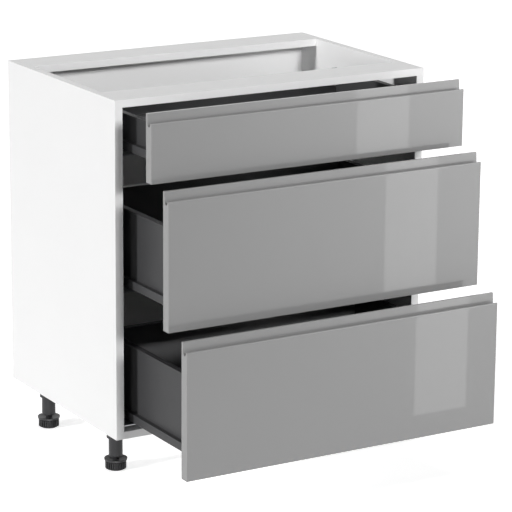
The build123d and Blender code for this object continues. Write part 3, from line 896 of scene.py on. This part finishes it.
@dataclass
class ScrewFeet:
    """The feet of the legs, each with a ribbed grip ring, a dished flange and a spindle."""

    finish: Finish
    rib_count: int = 26
    ring_radius: float = 19.4 * MM
    rib_depth: float = 3.3 * MM
    rib_low: float = 2.0 * MM
    rib_high: float = 17.6 * MM
    ring_top: float = 18.4 * MM
    flange_radius: float = 25.0 * MM
    flange_top: float = 24.0 * MM
    flange_rim: float = 1.3 * MM
    dish_floor: float = 21.6 * MM
    dish_radius: float = 10.0 * MM
    spindle_radius: float = 7.0 * MM
    bevel: float = 1.0 * MM
    edge_radius: float = 0.25 * MM
    edge_segments: int = 2

    @property
    def ring_faces(self) -> int:
        """Faces round the ring: two for each rib and two for each gap."""
        return 4 * self.rib_count

    def build(self) -> None:
        """Model one foot, copy it under each leg and put the copies in place."""
        master = self._model(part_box(f"leg_foot_{CORNERS[0]}")[1].z)
        for corner in CORNERS:
            node = f"leg_foot_{corner}"
            axis = middle(*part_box(node)).xy
            piece = copy_to(Matrix.Translation((*axis, 0.0)), master, f"foot_{corner}")
            put_in_place(piece, node, f"foot_{corner}", self.finish)
        bpy.data.objects.remove(master)

    def _model(self, top: float) -> bpy.types.Object:
        """Model a foot from its ring outwards, downwards and upwards.

        Args:
            top: Height of the spindle's end.

        Returns:
            The foot, standing on the origin.
        """
        piece = start_piece("foot_master", bpy.ops.mesh.primitive_cylinder_add,
                            vertices=self.ring_faces, radius=self.ring_radius,
                            depth=self.rib_high - self.rib_low,
                            location=(0.0, 0.0, (self.rib_low + self.rib_high) / 2))
        self._raise_ribs(piece)
        self._shape_base(piece)
        self._shape_top(piece, top)
        finish_mesh(piece)
        round_edges(piece, self.edge_radius, self.edge_segments)
        return piece

    def _raise_ribs(self, piece: bpy.types.Object) -> None:
        """Raise every second pair of the ring's faces to a rib with drawn-in flanks."""
        step = 2 * math.pi / self.ring_faces

        def on_rib(at: Vector, out: Vector) -> bool:
            """Whether a face of the ring belongs to a rib."""
            angle = math.atan2(at.y, at.x) % (2 * math.pi)
            return abs(out.z) < ALONG and int(angle / step) % 4 < 2

        pick(piece, Part.FACES, on_rib)
        bpy.ops.mesh.extrude_region_shrink_fatten(
            TRANSFORM_OT_shrink_fatten={"value": self.rib_depth})

    def _shape_base(self, piece: bpy.types.Object) -> None:
        """Draw the ring down to the floor with a bevelled edge."""
        pick(piece, Part.FACES, lambda at, out: out.z < -ALONG and at.xy.length < MM)
        draw_up(-(self.rib_low - self.bevel))
        draw_up(-self.bevel)
        widen((self.ring_radius - self.bevel) / self.ring_radius)

    def _shape_top(self, piece: bpy.types.Object, top: float) -> None:
        """Draw the flange, its dish and the spindle out of the ring's upper face.

        Args:
            piece: The foot in edit mode.
            top: Height of the spindle's end.
        """
        pick(piece, Part.FACES, lambda at, out: out.z > ALONG and at.xy.length < MM)
        levels = [
            (self.ring_top, self.ring_radius),
            (self.ring_top + self.bevel, self.flange_radius - self.bevel),
            (self.flange_top, self.flange_radius),
            (self.flange_top, self.flange_radius - self.flange_rim),
            (self.dish_floor, self.dish_radius),
            (self.dish_floor, self.spindle_radius),
            (top - self.bevel, self.spindle_radius),
            (top, self.spindle_radius - self.bevel),
        ]
        height, radius = self.rib_high, self.ring_radius
        for level, wide in levels:
            draw_up(level - height)
            widen(wide / radius)
            height, radius = level, wide


# ---------------------------------------------------------------------------- fasteners


@dataclass(frozen=True)
class Screw:
    """A pan head screw with a cross recess, modelled head up with its seat at the origin."""

    head_diameter: float
    head_height: float
    shank_diameter: float
    shank_length: float
    recess_width: float = 0.6 * MM
    recess_depth: float = 1.1 * MM
    recess_share: float = 0.56  # how much of the head's width the recess takes up
    recess_taper: float = 0.45
    dome_share: float = 0.7  # how much of the head's height is round
    tip_share: float = 0.25
    sides: int = 28
    dome_segments: int = 4

    def master(self) -> bpy.types.Object:
        """Model one screw.

        Returns:
            The screw at the origin.
        """
        radius = self.head_diameter / 2
        piece = start_piece("screw_master", bpy.ops.mesh.primitive_cylinder_add,
                            vertices=self.sides, radius=radius, depth=self.head_height,
                            location=(0.0, 0.0, self.head_height / 2))
        pick(piece, Part.EDGES, lambda at, along: at.z > self.head_height - NEAR)
        bpy.ops.mesh.bevel(offset=self.head_height * self.dome_share,
                           segments=self.dome_segments, affect="EDGES")
        pick(piece, Part.FACES, lambda at, out: out.z < -ALONG)
        bpy.ops.mesh.inset(thickness=radius - self.shank_diameter / 2)
        draw_up(-(self.shank_length - self.shank_diameter))
        draw_up(-self.shank_diameter)
        widen(self.tip_share)
        finish_mesh(piece)
        for turn in (0.0, math.pi / 2):
            self._cut_recess(piece, turn)
        bpy.ops.object.shade_smooth_by_angle(angle=SMOOTH_BELOW)
        return piece

    def _cut_recess(self, piece: bpy.types.Object, turn: float) -> None:
        """Cut one arm of the cross recess, narrower at its foot.

        Args:
            piece: The screw.
            turn: The arm's angle about the screw's axis.
        """
        length = self.head_diameter * self.recess_share
        depth = 2 * self.recess_depth
        cutter = start_piece("recess_cutter", bpy.ops.mesh.primitive_cube_add, size=1.0,
                             location=(0.0, 0.0, self.head_height), rotation=(0.0, 0.0, turn),
                             scale=(length, self.recess_width, depth))
        pick(cutter, Part.FACES, lambda at, out: out.z < -ALONG)
        widen(self.recess_taper)
        bpy.ops.object.mode_set(mode="OBJECT")
        bpy.ops.object.select_all(action="DESELECT")
        piece.select_set(True)
        bpy.context.view_layer.objects.active = piece
        use_modifier(piece, "BOOLEAN", object=cutter, operation="DIFFERENCE", solver="EXACT")
        bpy.data.objects.remove(cutter)

    def group(self, name: str, node: str, body: str, finish: Finish,
              seats: Sequence[tuple[Vector, Vector]]) -> bpy.types.Object:
        """Drive a screw into every seat, each with its recess at another angle.

        Args:
            name: The group's name.
            node: The frame's node that it stands for.
            body: The body that it rides on.
            finish: Its finish.
            seats: Where each head sits and the direction that it faces.

        Returns:
            The joined group.
        """
        spots = [Matrix.Translation(at) @ out.to_track_quat("Z", "Y").to_matrix().to_4x4()
                 @ Matrix.Rotation(GOLDEN_ANGLE * index, 4, "Z")
                 for index, (at, out) in enumerate(seats)]
        master = self.master()
        piece = join_copies(spots, master, name)
        bpy.data.objects.remove(master)
        return put_in_place(piece, node, body, finish)


@dataclass
class Fasteners:
    """All screws that show, driven where the runners, legs and fronts have their holes."""

    finish: Finish
    runner_screw: Screw = Screw(head_diameter=8.0 * MM, head_height=1.8 * MM,
                                shank_diameter=5.0 * MM, shank_length=12.0 * MM)
    leg_screw: Screw = Screw(head_diameter=7.0 * MM, head_height=2.0 * MM,
                             shank_diameter=4.0 * MM, shank_length=13.0 * MM)
    drawer_screw: Screw = Screw(head_diameter=6.4 * MM, head_height=2.0 * MM,
                                shank_diameter=3.6 * MM, shank_length=13.0 * MM)
    runner_places: tuple[float, ...] = (37.0 * MM, 197.0 * MM, 357.0 * MM)
    runner_height: float = 11.4 * MM
    runner_sheet: float = 1.5 * MM
    leg_spacing: float = 48.0 * MM
    leg_plate: float = 3.0 * MM
    bracket_plate: float = 2.0 * MM
    bracket_inset: float = 6.5 * MM
    bracket_height: float = 9.0 * MM
    bracket_top: float = 11.0 * MM
    housing_width: float = 22.0 * MM
    wall_middle: float = 16.0 * MM
    back_inset: float = 6.75 * MM
    back_margin: float = 9.5 * MM
    ledge_inset: float = 50.0 * MM
    ledge_middle: float = 6.0 * MM

    def build(self) -> None:
        """Drive the screws of the runners, the legs and each drawer."""
        self.runner_screw.group("screws_runners", "runner_screws", "cabinet", self.finish,
                                self._runner_seats())
        self.leg_screw.group("screws_legs", "leg_screws", "cabinet", self.finish,
                             self._leg_seats())
        for number in DRAWERS:
            seats = self._front_seats(number) + self._back_seats(number) + self._ledge_seats(number)
            self.drawer_screw.group(f"screws_drawer_{number}", f"drawer_{number}_screws",
                                    f"drawer_{number}", self.finish, seats)

    def _runner_seats(self) -> list[tuple[Vector, Vector]]:
        """Seats on the flanges of the cabinet rails."""
        seats = []
        for number in DRAWERS:
            for hand in Hand:
                low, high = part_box(f"runner_{number}_rail_{hand.word}")
                x = hand.outer(low, high) - hand.value * self.runner_sheet
                seats += [(Vector((x, low.y + y, low.z + self.runner_height)), hand.inwards)
                          for y in self.runner_places]
        return seats

    def _leg_seats(self) -> list[tuple[Vector, Vector]]:
        """Seats on the plates of the leg sockets, facing the floor."""
        half = self.leg_spacing / 2
        seats = []
        for corner in CORNERS:
            low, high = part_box(f"leg_socket_{corner}")
            centre = middle(low, high)
            level = high.z - self.leg_plate
            seats += [(Vector((centre.x + i * half, centre.y + j * half, level)), DOWN)
                      for i in (-1, 1) for j in (-1, 1)]
        return seats

    def _front_seats(self, number: int) -> list[tuple[Vector, Vector]]:
        """Seats on the brackets behind one front."""
        seats = []
        for hand in Hand:
            low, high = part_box(f"drawer_{number}_side_{hand.word}")
            face = hand.outer(low, high)
            marks = [(self.bracket_inset, low.z + self.bracket_height),
                     (self.housing_width - self.bracket_inset, low.z + self.bracket_height),
                     (self.wall_middle, high.z - self.bracket_top)]
            seats += [(Vector((face - hand.value * u, low.y, z)), BACK) for u, z in marks]
        return seats

    def _back_seats(self, number: int) -> list[tuple[Vector, Vector]]:
        """Seats on the plates behind one drawer's back board."""
        low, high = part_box(f"drawer_{number}_back")
        levels = (low.z + self.back_margin, high.z - self.back_margin)
        face = high.y + self.bracket_plate
        return [(Vector((hand.value * (high.x - self.back_inset), face, z)), BACK)
                for hand in Hand for z in levels]

    def _ledge_seats(self, number: int) -> list[tuple[Vector, Vector]]:
        """Seats under the ledges that carry one drawer's bottom."""
        seats = []
        for hand in Hand:
            low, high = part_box(f"drawer_{number}_side_{hand.word}")
            x = hand.inner(low, high) + hand.value * self.ledge_middle
            places = (low.y + self.ledge_inset, (low.y + high.y) / 2, high.y - self.ledge_inset)
            seats += [(Vector((x, y, low.z)), DOWN) for y in places]
        return seats


# ---------------------------------------------------------------------------- studio


def stage_plane(name: str, size: tuple[float, float], centre: Sequence[float], upright: bool,
                paint: Callable[[Graph], Wire], hidden_from: Sequence[Ray]) -> bpy.types.Object:
    """Set up a plane that is no part of the cabinet.

    Args:
        name: The plane's name.
        size: Its width, and its height or depth.
        centre: Where its middle is.
        upright: Whether it stands across the cabinet's depth; else it lies flat.
        paint: Builds its shader.
        hidden_from: The kinds of rays that don't meet it.

    Returns:
        The plane.
    """
    plane = start_piece(name, bpy.ops.mesh.primitive_plane_add, size=1.0, location=centre,
                        rotation=(math.pi / 2 if upright else 0.0, 0.0, 0.0), scale=(*size, 1.0))
    bpy.ops.object.mode_set(mode="OBJECT")
    material = bpy.data.materials.new(name)
    material.use_nodes = True
    graph = Graph(material.node_tree)
    graph.node("ShaderNodeOutputMaterial", {}, {"Surface": paint(graph)})
    plane.data.materials.append(material)
    for ray in hidden_from:
        setattr(plane, ray.value, False)
    return plane


@dataclass(frozen=True)
class FarLamp:
    """A lamp so far away that its light falls evenly, seen as a disc of a given spread.

    All but its strength are degrees. Its light travels along its heading, which turns from +Y
    to +X, and down by its height.
    """

    name: str
    heading: float
    height: float
    spread: float
    strength: float

    def build(self) -> bpy.types.Object:
        """Hang the lamp, out of sight of shiny surfaces.

        Returns:
            The lamp.
        """
        data = bpy.data.lights.new(self.name, "SUN")
        data.energy = self.strength
        data.angle = math.radians(self.spread)
        lamp = bpy.data.objects.new(self.name, data)
        turn, height = math.radians(self.heading), math.radians(self.height)
        travel = Vector((math.sin(turn) * math.cos(height), math.cos(turn) * math.cos(height),
                         -math.sin(height)))
        lamp.rotation_euler = travel.to_track_quat("-Z", "Y").to_euler()
        bpy.context.collection.objects.link(lamp)
        lamp.visible_glossy = False
        return lamp


@dataclass(frozen=True)
class Card:
    """A shining card before the cabinet that only reflections show.

    Its light is plain where X is start and Z is 0, and changes by plain_fall for each metre up.
    It grows by rise for each metre to the right, and by rise_gain more for each metre of
    height, and is never under least. Above band_foot one upright band is brighter by
    band_light. The shader's strength is peak, and its colour is the light's share of that.
    """

    distance: float = 1.35
    left: float = -1.6
    right: float = 3.4
    low: float = -3.0
    high: float = 2.0
    peak: float = 6.0
    least: float = 0.5
    start: float = 0.19
    plain: float = 0.85
    plain_fall: float = -0.37
    rise: float = 1.02
    rise_gain: float = 2.13
    band: tuple[float, float] = (0.819, 0.979)
    band_foot: float = -0.23
    band_light: float = 1.4

    def build(self) -> bpy.types.Object:
        """Stand the card up, brighter towards its right and most of all at its upper right.

        Returns:
            The card.
        """
        centre = ((self.left + self.right) / 2, -self.distance, (self.low + self.high) / 2)
        return stage_plane("card", (self.right - self.left, self.high - self.low), centre, True,
                           self._glow, (Ray.CAMERA, Ray.DIFFUSE, Ray.SHADOW, Ray.TRANSMISSION))

    def _glow(self, graph: Graph) -> Wire:
        """Build the card's light.

        Args:
            graph: The card's graph.

        Returns:
            Its shader.
        """
        place = graph.place()
        across, up = (graph.coordinate(place, axis) for axis in "XZ")
        even = self.plain + up * self.plain_fall
        slope = (across - self.start) * (self.rise + up * self.rise_gain)
        low, high = self.band
        banded = (across > low) * (across < high) * (up > self.band_foot)
        light = (even + slope + banded * self.band_light).most(self.least)
        return graph.node("ShaderNodeEmission", {},
                          {"Color": light * (1 / self.peak), "Strength": self.peak})


@dataclass(frozen=True)
class Curtain:
    """A black cloth across the carcass's mouth between two drawers, which keeps light out.

    The eye, reflections and glass don't see it.
    """

    name: str
    low: float
    high: float
    half_width: float = 0.356
    behind_edge: float = 2.0 * MM

    def build(self) -> bpy.types.Object:
        """Hang the cloth just behind the front edges of the boards.

        Returns:
            The cloth.
        """
        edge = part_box("side_left")[0].y
        centre = (0.0, edge + self.behind_edge, (self.low + self.high) / 2)
        return stage_plane(self.name, (2 * self.half_width, self.high - self.low), centre, True,
                           self._black, (Ray.CAMERA, Ray.GLOSSY, Ray.TRANSMISSION))

    @staticmethod
    def _black(graph: Graph) -> Wire:
        """A shader that gives no light back."""
        return graph.node("ShaderNodeBsdfDiffuse", {}, {"Color": (0.0, 0.0, 0.0, 1.0)})


@dataclass
class Studio:
    """Pale floor, even sky, far lamps, curtains and the card that the glossy fronts reflect."""

    sky: float = 0.01
    white: float = 1.0
    floor_size: float = 14.0
    floor_colour: Colour = (0.86, 0.86, 0.86)
    floor_glow: float = 0.72
    lamps: tuple[FarLamp, ...] = (
        FarLamp("key", heading=-1.5, height=20.0, spread=10.0, strength=2.18),
        FarLamp("left_lamp", heading=90.0, height=20.0, spread=8.0, strength=2.2),
        FarLamp("left_front_lamp", heading=50.0, height=3.0, spread=8.0, strength=0.55),
        FarLamp("back_lamp", heading=-150.0, height=60.0, spread=20.0, strength=0.5),
    )
    curtains: tuple[Curtain, ...] = (
        Curtain("curtain_middle", low=0.586, high=0.703),
        Curtain("curtain_bottom", low=0.298, high=0.415),
    )

    def build(self) -> None:
        """Set up the whole studio."""
        self._sky()
        stage_plane("floor", (self.floor_size, self.floor_size), ORIGIN, False,
                    self._floor_paint, (Ray.GLOSSY,))
        for lamp in self.lamps:
            lamp.build()
        for curtain in self.curtains:
            curtain.build()
        Card().build()

    def _sky(self) -> None:
        """Even grey light all round, seen as white by the eye and by shiny things."""
        world = bpy.data.worlds.new("studio")
        bpy.context.scene.world = world
        world.use_nodes = True
        graph = Graph(world.node_tree)
        light, plain = (graph.node("ShaderNodeBackground", {}, {"Color": WHITE, "Strength": power})
                        for power in (self.sky, self.white))
        shown = graph.node("ShaderNodeMixShader", {}, {"Fac": graph.seen(), 1: light, 2: plain})
        graph.node("ShaderNodeOutputWorld", {}, {"Surface": shown})

    def _floor_paint(self, graph: Graph) -> Wire:
        """Pale paint that keeps the cabinet's soft shadow and looks lighter than it lights.

        Args:
            graph: The floor's graph.

        Returns:
            Its shader.
        """
        paint = graph.node("ShaderNodeBsdfDiffuse", {}, {"Color": (*self.floor_colour, 1.0)})
        glow = graph.node("ShaderNodeEmission", {}, {"Color": WHITE, "Strength": self.floor_glow})
        lifted = graph.node("ShaderNodeAddShader", {}, {0: paint, 1: glow})
        return graph.node("ShaderNodeMixShader", {}, {"Fac": graph.seen(), 1: paint, 2: lifted})


@dataclass(frozen=True)
class Camera:
    """The long lens that looks down on the cabinet from its left front."""

    place: tuple[float, float, float] = (-2.740, -4.6465, 1.860)
    heading: float = math.radians(30.70)
    tilt: float = math.radians(14.89)
    roll: float = math.radians(0.47)
    focal: float = 182.46
    sensor: float = 36.0
    clip: tuple[float, float] = (0.1, 100.0)

    def build(self) -> None:
        """Set the camera up and make it the scene's own."""
        forward = Vector((math.sin(self.heading) * math.cos(self.tilt),
                          math.cos(self.heading) * math.cos(self.tilt), -math.sin(self.tilt)))
        level = Vector((math.cos(self.heading), -math.sin(self.heading), 0.0))
        upright = level.cross(forward)
        right = math.cos(self.roll) * level + math.sin(self.roll) * upright
        up = math.cos(self.roll) * upright - math.sin(self.roll) * level
        data = bpy.data.cameras.new("camera")
        data.lens, data.sensor_width = self.focal, self.sensor
        data.clip_start, data.clip_end = self.clip
        camera = bpy.data.objects.new("camera", data)
        turn = Matrix((right, up, -forward)).transposed().to_4x4()
        camera.matrix_world = Matrix.Translation(self.place) @ turn
        bpy.context.collection.objects.link(camera)
        bpy.context.scene.camera = camera


# ---------------------------------------------------------------------------- the whole cabinet


@dataclass
class Cabinet:
    """The cabinet's finishes and the pieces that are modelled anew."""

    frame: dict[str, Any]
    finishes: dict[str, Finish] = field(init=False)

    def __post_init__(self) -> None:
        """Mix the finishes, with the edge bands where the boards' front edges are."""
        front_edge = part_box("side_left")[0].y
        mixed = (
            Melamine("white_melamine", "white_board", (0.86, 0.86, 0.86), band_front=front_edge),
            Lacquer("grey_gloss_lacquer", "gloss_front", (0.252, 0.252, 0.252)),
            PowderCoat("dark_powder_coat", "drawer_metal"),
            Melamine("dark_melamine", "drawer_board", (0.2, 0.2, 0.205), speckle=0.12),
            RolledZinc("rolled_zinc", "runner_steel"),
            MouldedPlastic("black_plastic", "leg_plastic"),
            RolledZinc("screw_zinc", "fastener_steel", (0.66, 0.66, 0.68), roughness=0.3,
                       mark_stretch=1.0),
            BeechWood("beech", "dowel_wood"),
        )
        self.finishes = {finish.slot: finish for finish in mixed}

    def build(self) -> None:
        """Dress the frame's nodes and model the new pieces in order."""
        self._dress_nodes()
        for number in DRAWERS:
            DrawerFront(number, self.finishes["gloss_front"]).build()
            for hand in Hand:
                MetalSide(number, hand, self.finishes["drawer_metal"]).build()
        ScrewFeet(self.finishes["leg_plastic"]).build()
        Fasteners(self.finishes["fastener_steel"]).build()

    def _dress_nodes(self) -> None:
        """Give every node of the frame the finish of its material slot."""
        for row in self.frame["record"]["subparts"]:
            node = self.frame["nodes"][row["node"]]
            self.finishes[row["material_slot"]].dress(node)
            log.info("%s: %s", row["node"], row["material_slot"])


def main() -> None:
    """Build the cabinet, the studio and the camera in order."""
    logging.basicConfig(level=logging.INFO, format="%(name)s: %(message)s")
    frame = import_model()
    Cabinet(frame).build()
    Studio().build()
    Camera().build()
    bpy.context.scene.view_settings.view_transform = "Standard"


if __name__ == "__main__":
    main()
